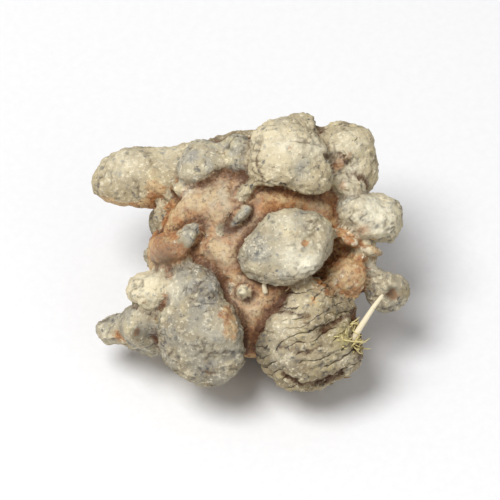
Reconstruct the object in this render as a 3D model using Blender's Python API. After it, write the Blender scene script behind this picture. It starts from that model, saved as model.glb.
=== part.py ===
# Notoginseng root: one dried root, grown as one piece, lying on four of its own knobs.
#
# The root is laid out as the eye meets it from above and in front. A place is (across, up, out) in
# millimetres from the middle of the body: across runs right, up runs up the picture, and out comes
# towards the eye. The last step turns that layout level and stands it on the ground, with the middle
# of its footprint at the origin and +Z up.
#
# The skin is the surface where a distance function is zero. Soft-edged ellipsoids melt together into
# the body. Knobs sit on it with a pressed-in groove wherever two of them meet.

import math
import random

import bmesh
import bpy
import numpy as np
from mathutils import Euler, Matrix, Vector, noise

MM = 0.001
LOOK_DOWN = math.radians(52)

# Fineness of the faceted solid
VOXEL = 0.5
PULLS = 5
MOST_TRIANGLES = 10500
SPHERE_STEPS = 4

# How lumps join, in millimetres
BODY_MELT = 3.0
KNOB_MELT = 1.3
GROOVE_DEPTH = 0.95
GROOVE_WIDTH = 1.1

# The slow waves that bend the plain ellipsoids, as (count, wavelength, height)
WAVE_SEED = 5
WAVES = ((5, 12.0, 0.34), (6, 5.5, 0.13))

# Unevenness of the dried skin, in millimetres
SAG_SIZE = 5.0
SAG_DEPTH = 0.38
PUCKER_SIZE = 2.3
PUCKER_DEPTH = 0.20

# The far side, filled in by rule. Knobs of falling size are thrown like darts, and a dart that lands
# too close to another, as a share of their two sizes, is thrown again.
HIDDEN_SEED = 12
HIDDEN_LARGEST = 5.0
HIDDEN_SMALLEST = 2.0
HIDDEN_SIZES = 46
HIDDEN_REACH = 15.5
CLOSENESS = 0.74
DARTS = 300
GROUND_ROOM = 0.5

# The height at which the knobs that the root lies on are worn flat
GROUND = -14.2

SKIN_COLOUR = (0.36, 0.29, 0.19)
SKIN_ROUGHNESS = 0.9


def lump(at, radii, turn=0, nod=0, pan=0):
    """An ellipsoid at (across, up, out). turn rolls it about the line of sight, nod tips its top
    towards the eye, and pan swings its right side away from the eye, all in degrees."""
    angles = (math.radians(nod), math.radians(pan), math.radians(turn))
    axes = np.array(Euler(angles).to_matrix())
    return {"at": np.array(at, float), "radii": np.array(radii, float), "axes": axes}


def facing(at, outward, radii, spin):
    """An ellipsoid whose third radius lies along the outward direction, spun about it."""
    axes = Vector(outward).to_track_quat("Z", "Y").to_matrix() @ Matrix.Rotation(spin, 3, "Z")
    return {"at": np.array(at, float), "radii": np.array(radii, float), "axes": np.array(axes)}


# The body, whose bare orange-brown skin shows between the knobs
BODY = [
    lump((0, 0, -0.4), (14.4, 14.0, 11.2)),
    lump((-2, 0, 3.2), (9, 13, 7)),
    lump((2, -7, 2), (10.6, 8.4, 8.2)),
    lump((3, 9.5, 0), (12, 8.5, 8.5)),
    lump((-4, 4.5, 6.2), (4.4, 7.5, 4)),
    lump((-5.5, 11.9, 2.4), (4.6, 3.3, 4.2)),
    lump((-1.0, -7.6, 5.8), (2.8, 7.0, 3.8)),
]

# The side stub that points left, tapering to a round end
FINGER = [
    lump((-9.5, 11.0, 1.0), (5.5, 4.1, 4.4), turn=6),
    lump((-14.8, 10.9, -0.3), (4.8, 4.0, 4.1)),
    lump((-19.1, 10.5, -1.2), (3.6, 3.4, 3.5)),
]

# The knobs that face the eye, each a few lumps melted together
FACE_KNOBS = {
    "saddle": [
        lump((-5.8, 11.8, 4.8), (5.1, 4.2, 4.8), turn=10),
        lump((-1.6, 12.8, 5.2), (3.4, 4.4, 4.6)),
    ],
    "crown": [
        lump((5.4, 13.7, 7.0), (6.0, 5.2, 5.4), turn=-12),
        lump((8.4, 11.2, 7.4), (3.9, 4.0, 4.3)),
        lump((2.6, 11.6, 7.6), (3.4, 3.0, 3.8)),
    ],
    "crown_bead": [lump((-0.8, 8.6, 8.8), (2.3, 1.6, 2.4), turn=30)],
    "crown_back": [lump((7.8, 15.9, 1.4), (3.9, 3.8, 4.6))],
    "shoulder": [
        lump((13.0, 13.6, 1.4), (5.0, 5.0, 5.4), turn=-40),
        lump((15.6, 10.9, 1.2), (3.2, 3.6, 4.6)),
    ],
    "shoulder_low": [lump((14.8, 9.4, 4.6), (3.2, 1.9, 2.8), turn=-12)],
    "right_knob": [
        lump((15.9, 5.3, 4.6), (4.0, 4.2, 4.4)),
        lump((19.3, 4.6, 4.0), (3.7, 3.6, 3.8)),
    ],
    "button": [
        lump((5.5, 0.7, 10.4), (6.9, 5.4, 4.4), turn=27, nod=-6, pan=4),
        lump((3.6, -0.6, 10.6), (4.4, 4.3, 4.2)),
    ],
    "leaf": [
        lump((-8.1, 2.4, 9.2), (3.0, 1.5, 2.5), turn=40),
        lump((-11.0, -0.2, 8.2), (3.5, 2.7, 3.4), turn=26),
    ],
    "sliver": [lump((-1.4, 4.4, 9.8), (3.1, 1.55, 2.1), turn=46)],
    "left_egg": [
        lump((-7.5, -5.7, 7.6), (5.4, 5.2, 5.3), turn=-8),
        lump((-6.2, -11.6, 7.6), (7.1, 6.4, 6.4)),
        lump((-5.8, -14.4, 6.8), (6.0, 4.6, 5.8)),
    ],
    "left_pale": [
        lump((-12.3, -5.9, 7.0), (4.2, 3.8, 4.2), turn=15),
        lump((-15.0, -5.6, 6.2), (2.6, 2.4, 2.8)),
    ],
    "left_low": [
        lump((-14.4, -10.2, 4.6), (4.5, 3.9, 4.8), turn=34),
        lump((-18.4, -10.8, 2.4), (2.9, 2.0, 3.2), turn=30),
        lump((-12.4, -12.6, 4.4), (3.0, 2.8, 3.6)),
    ],
    "right_egg": [
        lump((7.9, -11.8, 6.4), (7.0, 7.4, 7.2), turn=12),
        lump((11.8, -12.2, 6.2), (5.6, 6.4, 6.4), turn=-30),
        lump((8.6, -7.8, 6.6), (5.4, 5.0, 6.0)),
        lump((8.4, -15.0, 6.0), (5.8, 5.0, 6.2)),
    ],
    "right_egg_scab": [lump((15.0, -12.0, 7.2), (2.2, 3.6, 3.8), turn=-18)],
    "hump": [lump((14.0, -3.9, 5.4), (4.0, 3.3, 4.7), turn=-20)],
    "stub": [
        lump((17.7, -4.2, 4.0), (3.4, 2.5, 3.0), turn=-24),
        lump((20.0, -5.8, 3.3), (2.6, 2.7, 2.6)),
    ],
    "pearl": [lump((-0.3, -6.1, 10.2), (1.6, 1.5, 2.2))],
    "claw_high": [lump((13.4, 1.7, 6.4), (2.9, 1.15, 2.6), turn=-24)],
    "claw_low": [lump((16.2, 0.0, 5.0), (3.0, 1.2, 2.6), turn=-14)],
    "bud": [lump((-9.2, 8.6, 4.8), (1.9, 1.6, 2.2))],
    "rib": [lump((-12.8, 4.9, 2.6), (1.4, 2.7, 2.6), turn=12)],
}

# The knobs on the back of the head end, behind the crown
BACK_KNOBS = [
    lump((4.5, 13.8, -6.0), (4.6, 4.1, 4.3), turn=15),
    lump((-3.4, 12.0, -5.8), (3.9, 3.5, 3.9), turn=-20),
    lump((11.6, 11.8, -5.4), (3.7, 3.7, 4.0)),
    lump((1.2, 15.8, -2.2), (2.7, 2.2, 2.6), turn=30),
    lump((9.6, 15.8, -3.0), (2.7, 2.3, 2.8), turn=-30),
]

# The knobs that the root lies on, as (x, y, z) with z up, before it is stood on the ground
LYING_KNOBS = [
    ((-7.0, -8.2, -9.4), (5.8, 5.4, 5.9)),
    ((9.6, -10.0, -9.4), (6.0, 5.4, 6.0)),
    ((-6.0, 10.0, -9.6), (6.0, 6.2, 5.8)),
    ((8.5, 8.5, -9.5), (5.6, 5.8, 5.9)),
]

# Splits in the skin, as (points in across and up, depth, half width)
SPLITS = [
    (((5.0, -17.3), (7.6, -18.9), (11.0, -18.7), (13.4, -17.4)), 0.7, 0.42),
    (((10.6, -11.2), (13.2, -9.4), (16.4, -8.8)), 0.7, 0.42),
    (((2.4, -9.3), (5.2, -8.4), (8.4, -9.2)), 0.45, 0.42),
    (((4.4, -13.6), (8.0, -14.4), (10.4, -13.2)), 0.45, 0.42),
    (((11.0, 13.6), (13.0, 13.9), (14.8, 12.4)), 0.7, 0.42),
    (((1.9, 16.2), (1.2, 12.6), (2.2, 9.6)), 0.4, 0.42),
    (((-6.8, -16.8), (-4.6, -17.2)), 0.4, 0.42),
]


def seen_axes():
    """The layout's across, up and out as columns in world axes."""
    low, high = math.cos(LOOK_DOWN), math.sin(LOOK_DOWN)
    return np.array(((1, 0, 0), (0, high, -low), (0, low, high)))


def hidden_knobs():
    """Knobs on the side turned away from the eye, thrown like darts, the largest first."""
    chooser = random.Random(HIDDEN_SEED)
    taken = [(knob[0]["at"], knob[0]["radii"].mean()) for knob in FACE_KNOBS.values()]
    taken += [(knob["at"], knob["radii"].mean()) for knob in BACK_KNOBS]
    taken += [(np.array(place) @ seen_axes(), max(radii)) for place, radii in LYING_KNOBS]
    found = []
    for size in np.linspace(HIDDEN_LARGEST, HIDDEN_SMALLEST, HIDDEN_SIZES):
        for _ in range(DARTS):
            outward = np.array([chooser.gauss(0, 1) for _ in range(3)])
            outward /= np.linalg.norm(outward)
            at = outward * BODY[0]["radii"] * chooser.uniform(0.86, 0.95)
            beyond = math.hypot(at[0], at[1]) + size > HIDDEN_REACH
            touching = (seen_axes() @ at)[2] - size < GROUND + GROUND_ROOM
            crowded = any(np.linalg.norm(at - spot) < CLOSENESS * (size + reach) for spot, reach in taken)
            if outward[2] > -0.05 or beyond or touching or crowded:
                continue
            radii = (size * chooser.uniform(0.9, 1.2), size * chooser.uniform(0.85, 1.0), size)
            found.append([facing(at, outward, radii, chooser.uniform(0, math.pi))])
            taken.append((at, size))
            break
    return found


def placed_knobs():
    """The knobs behind and underneath that have their places, in the layout's axes."""
    found = [[knob] for knob in BACK_KNOBS]
    for place, radii in LYING_KNOBS:
        at = np.array(place) @ seen_axes()
        found.append([facing(at, at / np.linalg.norm(at), radii, 0)])
    return found


def bending_waves():
    """The waves as (way in which the wave runs, way in which it pushes, phase), from a fixed seed."""
    chooser = random.Random(WAVE_SEED)
    found = []
    for count, length, height in WAVES:
        for _ in range(count):
            run, push = (np.array([chooser.gauss(0, 1) for _ in range(3)]) for _ in range(2))
            run *= 2 * math.pi / length / np.linalg.norm(run)
            push *= height / np.linalg.norm(push)
            found.append((run, push, chooser.uniform(0, 2 * math.pi)))
    return found


BENDS = bending_waves()


def wobble(points):
    """A slow bend of space that makes the plain ellipsoids irregular."""
    return sum(np.sin(points @ run + phase)[:, None] * push for run, push, phase in BENDS)


def distance_to(points, shape):
    """Roughly how far each point lies outside an ellipsoid."""
    local = (points - shape["at"]) @ shape["axes"]
    near = np.linalg.norm(local / shape["radii"], axis=1)
    slope = np.linalg.norm(local / shape["radii"] ** 2, axis=1)
    return near * (near - 1) / np.maximum(slope, 1e-6)


def melted(points, shapes, melt):
    """The distance to several ellipsoids that run into each other over the width of the melt."""
    total = distance_to(points, shapes[0])
    for shape in shapes[1:]:
        other = distance_to(points, shape)
        share = np.clip(0.5 + 0.5 * (other - total) / melt, 0, 1)
        total = other * (1 - share) + total * share - melt * share * (1 - share)
    return total


def split_depth(points):
    """How deep the splits cut into the side that faces the eye."""
    depth = np.zeros(len(points))
    for corners, deep, half in SPLITS:
        for start, end in zip(corners, corners[1:]):
            start, run = np.array(start), np.subtract(end, start)
            along = np.clip((points[:, :2] - start) @ run / (run @ run), 0, 1)
            aside = np.linalg.norm(points[:, :2] - start - along[:, None] * run, axis=1)
            depth = np.maximum(depth, deep * np.exp(-((aside / half) ** 2)) * (points[:, 2] > 2))
    return depth


def distance(points, knobs):
    """The distance outside the root's skin, below zero inside it."""
    bent = points + wobble(points)
    fields = [melted(bent, BODY + FINGER, BODY_MELT)]
    fields += [melted(bent, knob, KNOB_MELT) for knob in knobs]
    nearest = np.sort(np.array(fields), axis=0)[:2]
    gap = (nearest[1] - nearest[0]) / GROOVE_WIDTH
    return nearest[0] + GROOVE_DEPTH * np.exp(-(gap**2)) + split_depth(points)


def starting_mesh(knobs):
    """All the ellipsoids as loose spheres in one mesh, fused into one closed skin by a voxel remesh."""
    whole = bmesh.new()
    for shape in BODY + FINGER + [shape for knob in knobs for shape in knob]:
        ball = bmesh.ops.create_icosphere(whole, subdivisions=SPHERE_STEPS, radius=1)["verts"]
        plain = np.array([vert.co for vert in ball]) * shape["radii"] @ shape["axes"].T + shape["at"]
        bent = plain
        for _ in range(3):
            bent = plain - wobble(bent)
        for vert, place in zip(ball, bent):
            vert.co = place
    loose = bpy.data.meshes.new("loose")
    whole.to_mesh(loose)
    whole.free()
    holder = bpy.data.objects.new("loose", loose)
    bpy.context.scene.collection.objects.link(holder)
    fuse = holder.modifiers.new("fuse", "REMESH")
    fuse.mode = "VOXEL"
    fuse.voxel_size = VOXEL
    graph = bpy.context.evaluated_depsgraph_get()
    fused = bpy.data.meshes.new_from_object(holder.evaluated_get(graph))
    bpy.data.objects.remove(holder)
    return fused


def vertex_array(mesh):
    """The mesh's vertex places, one row for each."""
    flat = np.empty(len(mesh.vertices) * 3, np.float32)
    mesh.vertices.foreach_get("co", flat)
    return flat.reshape(-1, 3).astype(float)


def evened(points, edges):
    """Each point moved a third of the way to the mean of its neighbours."""
    ends = np.concatenate((edges, edges[:, ::-1]))
    count = np.bincount(ends[:, 0], minlength=len(points))
    mean = [np.bincount(ends[:, 0], points[ends[:, 1], axis], len(points)) for axis in range(3)]
    return points + (np.array(mean).T / count[:, None] - points) / 3


def pulled(points, knobs):
    """The points moved along the slope of the distance onto the skin."""
    here = distance(points, knobs)
    step = 0.04
    slope = np.stack([(distance(points + step * side, knobs) - here) / step for side in np.eye(3)], 1)
    steep = np.maximum((slope**2).sum(axis=1), 0.3)
    return points - slope * (np.clip(here, -0.5, 0.5) / steep)[:, None]


def dried_relief(place):
    """Height of the shrunken skin above its smooth form at one place."""
    sag = noise.noise(place / SAG_SIZE) * SAG_DEPTH
    folded = place + 1.2 * noise.noise_vector(place / 4.0)
    pucker = (0.5 - abs(noise.noise(folded / PUCKER_SIZE)) * 2) * PUCKER_DEPTH
    return sag + pucker


def skin_mesh(knobs):
    """The root's skin in the layout, before it is thinned to its final facets."""
    mesh = starting_mesh(knobs)
    points = vertex_array(mesh)
    edges = np.array([edge.vertices[:] for edge in mesh.edges])
    for _ in range(PULLS):
        points = pulled(evened(points, edges), knobs)
    points = evened(points, edges)
    mesh.vertices.foreach_set("co", points.astype(np.float32).ravel())
    mesh.update()
    heights = np.array([dried_relief(vert.co) for vert in mesh.vertices])
    normals = np.array([vert.normal for vert in mesh.vertices])
    points = points + normals * heights[:, None]
    mesh.vertices.foreach_set("co", points.astype(np.float32).ravel())
    mesh.update()
    return mesh


def levelled(mesh):
    """Turns the layout level, thins it, and wears the lowest knobs flat on the ground."""
    mesh.transform(Matrix(seen_axes()).to_4x4())
    holder = bpy.data.objects.new("skin", mesh)
    bpy.context.scene.collection.objects.link(holder)
    holder.modifiers.new("facets", "TRIANGULATE")
    thin = holder.modifiers.new("thin", "DECIMATE")
    thin.ratio = min(1.0, MOST_TRIANGLES / (2 * len(mesh.polygons)))
    graph = bpy.context.evaluated_depsgraph_get()
    thinned = bpy.data.meshes.new_from_object(holder.evaluated_get(graph))
    bpy.data.objects.remove(holder)
    cut = bmesh.new()
    cut.from_mesh(thinned)
    everything = cut.verts[:] + cut.edges[:] + cut.faces[:]
    bmesh.ops.bisect_plane(
        cut, geom=everything, plane_co=(0, 0, GROUND), plane_no=(0, 0, 1), dist=1e-5, clear_inner=True
    )
    rims = [edge for edge in cut.edges if edge.is_boundary]
    bmesh.ops.holes_fill(cut, edges=rims, sides=0)
    bmesh.ops.recalc_face_normals(cut, faces=cut.faces[:])
    cut.to_mesh(thinned)
    cut.free()
    points = vertex_array(thinned)
    middle = (points.max(axis=0) + points.min(axis=0)) / 2
    thinned.transform(Matrix.Translation((-middle[0], -middle[1], -GROUND)))
    thinned.transform(Matrix.Scale(MM, 4))
    return thinned


def skin_material():
    """Grey-brown dusty skin."""
    material = bpy.data.materials.new("dried_skin")
    material.use_nodes = True
    shader = material.node_tree.nodes["Principled BSDF"]
    shader.inputs["Base Color"].default_value = (*SKIN_COLOUR, 1)
    shader.inputs["Roughness"].default_value = SKIN_ROUGHNESS
    shader.inputs["Metallic"].default_value = 0
    return material


def main():
    for old in list(bpy.data.objects):
        bpy.data.objects.remove(old)
    knobs = list(FACE_KNOBS.values()) + placed_knobs() + hidden_knobs()
    mesh = levelled(skin_mesh(knobs))
    mesh.name = "notoginseng_root"
    mesh.materials.append(skin_material())
    root = bpy.data.objects.new("notoginseng_root", mesh)
    bpy.context.scene.collection.objects.link(root)
    mesh.shade_smooth()


main()
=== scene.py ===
# %% [markdown]
# # A dried notoginseng root
#
# Notoginseng roots dry as hard as horn. The plump parts shrink, the skin wrinkles over them, and the
# knobs where the side roots were cut off stand out all round, dusted with pale soil. Between the knobs
# the bare skin shows orange-brown.
#
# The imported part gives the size, the place and the collision. This script dresses it: it grows the
# same form again from the same measurements, several times finer, then adds bark, scars and colour.

import math
import random

import bmesh
import bpy
import numpy as np
from mathutils import Euler, Matrix, Vector, noise


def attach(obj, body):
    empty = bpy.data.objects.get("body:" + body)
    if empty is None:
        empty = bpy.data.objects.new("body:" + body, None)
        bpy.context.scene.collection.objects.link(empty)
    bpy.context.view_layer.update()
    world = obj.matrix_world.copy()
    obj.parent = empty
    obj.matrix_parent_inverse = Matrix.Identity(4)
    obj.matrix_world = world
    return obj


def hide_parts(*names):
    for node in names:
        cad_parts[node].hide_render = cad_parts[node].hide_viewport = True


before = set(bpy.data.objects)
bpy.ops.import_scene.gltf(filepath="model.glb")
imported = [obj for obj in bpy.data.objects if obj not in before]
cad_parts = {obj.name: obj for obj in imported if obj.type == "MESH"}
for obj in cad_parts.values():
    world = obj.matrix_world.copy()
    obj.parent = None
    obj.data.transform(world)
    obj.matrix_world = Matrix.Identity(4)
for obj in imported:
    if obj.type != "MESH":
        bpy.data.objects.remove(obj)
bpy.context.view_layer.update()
NODE = "notoginseng_root"
BODY_NAME = "root"
MM = 0.001

# %% [markdown]
# ## The studio
#
# The root lies on a plain pale sheet under a large soft light, and the eye looks down at 52 degrees. A
# long lens from half a metre away keeps the knobs in proportion, as a product photographer would. A
# flat plane is enough for the sheet, because only its soft shadow shows.

# %% Floor
LOOK_DOWN = math.radians(52)
SHEET_HALF = 1.5
SHEET_COLOUR = (0.86, 0.86, 0.87)


def new_object(name, data):
    made = bpy.data.objects.new(name, data)
    bpy.context.scene.collection.objects.link(made)
    return made


sheet_mesh = bpy.data.meshes.new("sheet")
corners = [(x * SHEET_HALF, y * SHEET_HALF, 0) for x, y in ((-1, -1), (1, -1), (1, 1), (-1, 1))]
sheet_mesh.from_pydata(corners, [], [(0, 1, 2, 3)])
sheet = new_object("sheet", sheet_mesh)
print("sheet:", 2 * SHEET_HALF, "m square")

# %% Camera
LENS = 250
EYE_DISTANCE = 0.5
AIM = Vector((0.0, 0.0, 16.0 * MM))



def aimed(name, data, place, aim):
    """An object at a place, turned so that it looks at its aim."""
    made = new_object(name, data)
    made.location = place
    made.rotation_mode = "QUATERNION"
    made.rotation_quaternion = (aim - place).to_track_quat("-Z", "Y")
    return made


towards_eye = Vector((0, -math.cos(LOOK_DOWN), math.sin(LOOK_DOWN)))
camera = bpy.data.cameras.new("camera")
camera.lens = LENS
bpy.context.scene.camera = aimed("camera", camera, AIM + towards_eye * EYE_DISTANCE, AIM)
view_width = EYE_DISTANCE * camera.sensor_width / camera.lens
print("the frame is", round(view_width / MM, 1), "mm wide at the root")

# %% Lights
# Each light as (size, power, place)
LIGHTS = {
    "key": (0.4, 5.8, (-0.25, -0.15, 0.75)),
    "fill": (0.9, 1.0, (0.6, -0.5, 0.5)),
}
SKY = {"Color": (1, 1, 1, 1), "Strength": 0.34}

for name, (size, power, place) in LIGHTS.items():
    light = bpy.data.lights.new(name, "AREA")
    light.shape = "DISK"
    light.size = size
    light.energy = power
    aimed(name, light, Vector(place), Vector())
world = bpy.data.worlds.new("studio")
world.use_nodes = True
for name, value in SKY.items():
    world.node_tree.nodes["Background"].inputs[name].default_value = value
bpy.context.scene.world = world
bpy.context.scene.view_settings.view_transform = "Standard"
print(len(LIGHTS), "soft lights and a pale sky")

# %% [markdown]
# ## The form
#
# A root like this could be sculpted by hand, but then nobody could say why a knob is where it is. Here
# every knob is one to three ellipsoids, laid out as the eye meets them: across, up the picture, and out
# towards the eye, in millimetres from the middle of the body. They are the part's own measurements, so
# the fine skin falls exactly where its solid is.

# %% Lumps of the body and the finger


def lump(at, radii, turn=0, nod=0, pan=0):
    """An ellipsoid at (across, up, out). turn rolls it about the line of sight, nod tips its top
    towards the eye, and pan swings its right side away from the eye, all in degrees."""
    angles = (math.radians(nod), math.radians(pan), math.radians(turn))
    axes = np.array(Euler(angles).to_matrix())
    return {"at": np.array(at, float), "radii": np.array(radii, float), "axes": axes}


def facing(at, outward, radii, spin):
    """An ellipsoid whose third radius lies along the outward direction, spun about it."""
    axes = Vector(outward).to_track_quat("Z", "Y").to_matrix() @ Matrix.Rotation(spin, 3, "Z")
    return {"at": np.array(at, float), "radii": np.array(radii, float), "axes": np.array(axes)}


BODY = [
    lump((0, 0, -0.4), (14.4, 14.0, 11.2)),
    lump((-2, 0, 3.2), (9, 13, 7)),
    lump((2, -7, 2), (10.6, 8.4, 8.2)),
    lump((3, 9.5, 0), (12, 8.5, 8.5)),
    lump((-4, 4.5, 6.2), (4.4, 7.5, 4)),
    lump((-5.5, 11.9, 2.4), (4.6, 3.3, 4.2)),
    lump((-1.0, -7.6, 5.8), (2.8, 7.0, 3.8)),
]

FINGER = [
    lump((-9.5, 11.0, 1.0), (5.5, 4.1, 4.4), turn=6),
    lump((-14.8, 10.9, -0.3), (4.8, 4.0, 4.1)),
    lump((-19.1, 10.5, -1.2), (3.6, 3.4, 3.5)),
]
print(len(BODY), "lumps make the body and", len(FINGER), "the finger")

# %% Knobs that face the eye
FACE_KNOBS = {
    "saddle": [
        lump((-5.8, 11.8, 4.8), (5.1, 4.2, 4.8), turn=10),
        lump((-1.6, 12.8, 5.2), (3.4, 4.4, 4.6)),
    ],
    "crown": [
        lump((5.4, 13.7, 7.0), (6.0, 5.2, 5.4), turn=-12),
        lump((8.4, 11.2, 7.4), (3.9, 4.0, 4.3)),
        lump((2.6, 11.6, 7.6), (3.4, 3.0, 3.8)),
    ],
    "crown_bead": [lump((-0.8, 8.6, 8.8), (2.3, 1.6, 2.4), turn=30)],
    "crown_back": [lump((7.8, 15.9, 1.4), (3.9, 3.8, 4.6))],
    "shoulder": [
        lump((13.0, 13.6, 1.4), (5.0, 5.0, 5.4), turn=-40),
        lump((15.6, 10.9, 1.2), (3.2, 3.6, 4.6)),
    ],
    "shoulder_low": [lump((14.8, 9.4, 4.6), (3.2, 1.9, 2.8), turn=-12)],
    "right_knob": [
        lump((15.9, 5.3, 4.6), (4.0, 4.2, 4.4)),
        lump((19.3, 4.6, 4.0), (3.7, 3.6, 3.8)),
    ],
    "button": [
        lump((5.5, 0.7, 10.4), (6.9, 5.4, 4.4), turn=27, nod=-6, pan=4),
        lump((3.6, -0.6, 10.6), (4.4, 4.3, 4.2)),
    ],
    "leaf": [
        lump((-8.1, 2.4, 9.2), (3.0, 1.5, 2.5), turn=40),
        lump((-11.0, -0.2, 8.2), (3.5, 2.7, 3.4), turn=26),
    ],
    "sliver": [lump((-1.4, 4.4, 9.8), (3.1, 1.55, 2.1), turn=46)],
    "left_egg": [
        lump((-7.5, -5.7, 7.6), (5.4, 5.2, 5.3), turn=-8),
        lump((-6.2, -11.6, 7.6), (7.1, 6.4, 6.4)),
        lump((-5.8, -14.4, 6.8), (6.0, 4.6, 5.8)),
    ],
    "left_pale": [
        lump((-12.3, -5.9, 7.0), (4.2, 3.8, 4.2), turn=15),
        lump((-15.0, -5.6, 6.2), (2.6, 2.4, 2.8)),
    ],
    "left_low": [
        lump((-14.4, -10.2, 4.6), (4.5, 3.9, 4.8), turn=34),
        lump((-18.4, -10.8, 2.4), (2.9, 2.0, 3.2), turn=30),
        lump((-12.4, -12.6, 4.4), (3.0, 2.8, 3.6)),
    ],
    "right_egg": [
        lump((7.9, -11.8, 6.4), (7.0, 7.4, 7.2), turn=12),
        lump((11.8, -12.2, 6.2), (5.6, 6.4, 6.4), turn=-30),
        lump((8.6, -7.8, 6.6), (5.4, 5.0, 6.0)),
        lump((8.4, -15.0, 6.0), (5.8, 5.0, 6.2)),
    ],
    "right_egg_scab": [lump((15.0, -12.0, 7.2), (2.2, 3.6, 3.8), turn=-18)],
    "hump": [lump((14.0, -3.9, 5.4), (4.0, 3.3, 4.7), turn=-20)],
    "stub": [
        lump((17.7, -4.2, 4.0), (3.4, 2.5, 3.0), turn=-24),
        lump((20.0, -5.8, 3.3), (2.6, 2.7, 2.6)),
    ],
    "pearl": [lump((-0.3, -6.1, 10.2), (1.6, 1.5, 2.2))],
    "claw_high": [lump((13.4, 1.7, 6.4), (2.9, 1.15, 2.6), turn=-24)],
    "claw_low": [lump((16.2, 0.0, 5.0), (3.0, 1.2, 2.6), turn=-14)],
    "bud": [lump((-9.2, 8.6, 4.8), (1.9, 1.6, 2.2))],
    "rib": [lump((-12.8, 4.9, 2.6), (1.4, 2.7, 2.6), turn=12)],
}
print(len(FACE_KNOBS), "knobs face the eye")

# %% [markdown]
# ## The side that the eye doesn't see
#
# A knobbly root is knobbly all round. The knobs behind and below are thrown like darts from a fixed
# seed, and a dart that lands too near another is thrown again, which gives the even, crowded spread of
# the real thing. Four large ones are placed one by one, because the root lies on them.

# %% Hidden and lying knobs

# The knobs on the back of the head end, behind the crown
BACK_KNOBS = [
    lump((4.5, 13.8, -6.0), (4.6, 4.1, 4.3), turn=15),
    lump((-3.4, 12.0, -5.8), (3.9, 3.5, 3.9), turn=-20),
    lump((11.6, 11.8, -5.4), (3.7, 3.7, 4.0)),
    lump((1.2, 15.8, -2.2), (2.7, 2.2, 2.6), turn=30),
    lump((9.6, 15.8, -3.0), (2.7, 2.3, 2.8), turn=-30),
]

# The knobs that the root lies on, as (x, y, z) with z up, before it is stood on the ground
LYING_KNOBS = [
    ((-7.0, -8.2, -9.4), (5.8, 5.4, 5.9)),
    ((9.6, -10.0, -9.4), (6.0, 5.4, 6.0)),
    ((-6.0, 10.0, -9.6), (6.0, 6.2, 5.8)),
    ((8.5, 8.5, -9.5), (5.6, 5.8, 5.9)),
]
HIDDEN_SEED = 12
HIDDEN_LARGEST = 5.0
HIDDEN_SMALLEST = 2.0
HIDDEN_SIZES = 46
HIDDEN_REACH = 15.5
CLOSENESS = 0.74
DARTS = 300
GROUND_ROOM = 0.5
GROUND = -14.2
FARTHEST_FRONT = -0.05
KNOB_DEPTHS = (0.86, 0.95)
KNOB_LENGTHS = (0.9, 1.2)
KNOB_WIDTHS = (0.85, 1.0)


def seen_axes():
    """The layout's across, up and out as columns in world axes."""
    low, high = math.cos(LOOK_DOWN), math.sin(LOOK_DOWN)
    return np.array(((1, 0, 0), (0, high, -low), (0, low, high)))


def hidden_knobs():
    """Knobs on the side turned away from the eye, thrown like darts, the largest first."""
    chooser = random.Random(HIDDEN_SEED)
    taken = [(knob[0]["at"], knob[0]["radii"].mean()) for knob in FACE_KNOBS.values()]
    taken += [(knob["at"], knob["radii"].mean()) for knob in BACK_KNOBS]
    taken += [(np.array(place) @ seen_axes(), max(radii)) for place, radii in LYING_KNOBS]
    found = []
    for size in np.linspace(HIDDEN_LARGEST, HIDDEN_SMALLEST, HIDDEN_SIZES):
        for _ in range(DARTS):
            outward = np.array([chooser.gauss(0, 1) for _ in range(3)])
            outward /= np.linalg.norm(outward)
            at = outward * BODY[0]["radii"] * chooser.uniform(*KNOB_DEPTHS)
            beyond = math.hypot(at[0], at[1]) + size > HIDDEN_REACH
            touching = (seen_axes() @ at)[2] - size < GROUND + GROUND_ROOM
            crowded = any(np.linalg.norm(at - spot) < CLOSENESS * (size + reach) for spot, reach in taken)
            if outward[2] > FARTHEST_FRONT or beyond or touching or crowded:
                continue
            radii = (size * chooser.uniform(*KNOB_LENGTHS), size * chooser.uniform(*KNOB_WIDTHS), size)
            found.append([facing(at, outward, radii, chooser.uniform(0, math.pi))])
            taken.append((at, size))
            break
    return found


def placed_knobs():
    """The knobs behind and underneath that have their places, in the layout's axes."""
    found = [[knob] for knob in BACK_KNOBS]
    for place, radii in LYING_KNOBS:
        at = np.array(place) @ seen_axes()
        found.append([facing(at, at / np.linalg.norm(at), radii, 0)])
    return found


knobs = list(FACE_KNOBS.values()) + placed_knobs() + hidden_knobs()
print(len(knobs), "knobs in all")

# %% [markdown]
# ## A distance that becomes a skin
#
# Each ellipsoid tells how far a point lies outside it. Lumps of one knob melt together over a
# millimetre or so. Where two different knobs are equally near, the distance is raised, which presses a
# groove between them, and slow waves bend the whole space so that nothing stays a perfect ellipsoid.

# %% Distance functions
BODY_MELT = 3.0
KNOB_MELT = 1.3
GROOVE_DEPTH = 0.95
GROOVE_WIDTH = 1.1
WAVE_SEED = 5
SPLIT_FRONT = 2

# The waves as (how many, length, height)
WAVES = ((5, 12.0, 0.34), (6, 5.5, 0.13))

# The splits as (depth, points across and up)
SPLIT_WIDTH = 0.42
SPLITS = [
    (0.7, [(5.0, -17.3), (7.6, -18.9), (11.0, -18.7), (13.4, -17.4)]),
    (0.7, [(10.6, -11.2), (13.2, -9.4), (16.4, -8.8)]),
    (0.45, [(2.4, -9.3), (5.2, -8.4), (8.4, -9.2)]),
    (0.45, [(4.4, -13.6), (8.0, -14.4), (10.4, -13.2)]),
    (0.7, [(11.0, 13.6), (13.0, 13.9), (14.8, 12.4)]),
    (0.4, [(1.9, 16.2), (1.2, 12.6), (2.2, 9.6)]),
    (0.4, [(-6.8, -16.8), (-4.6, -17.2)]),
]


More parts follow.
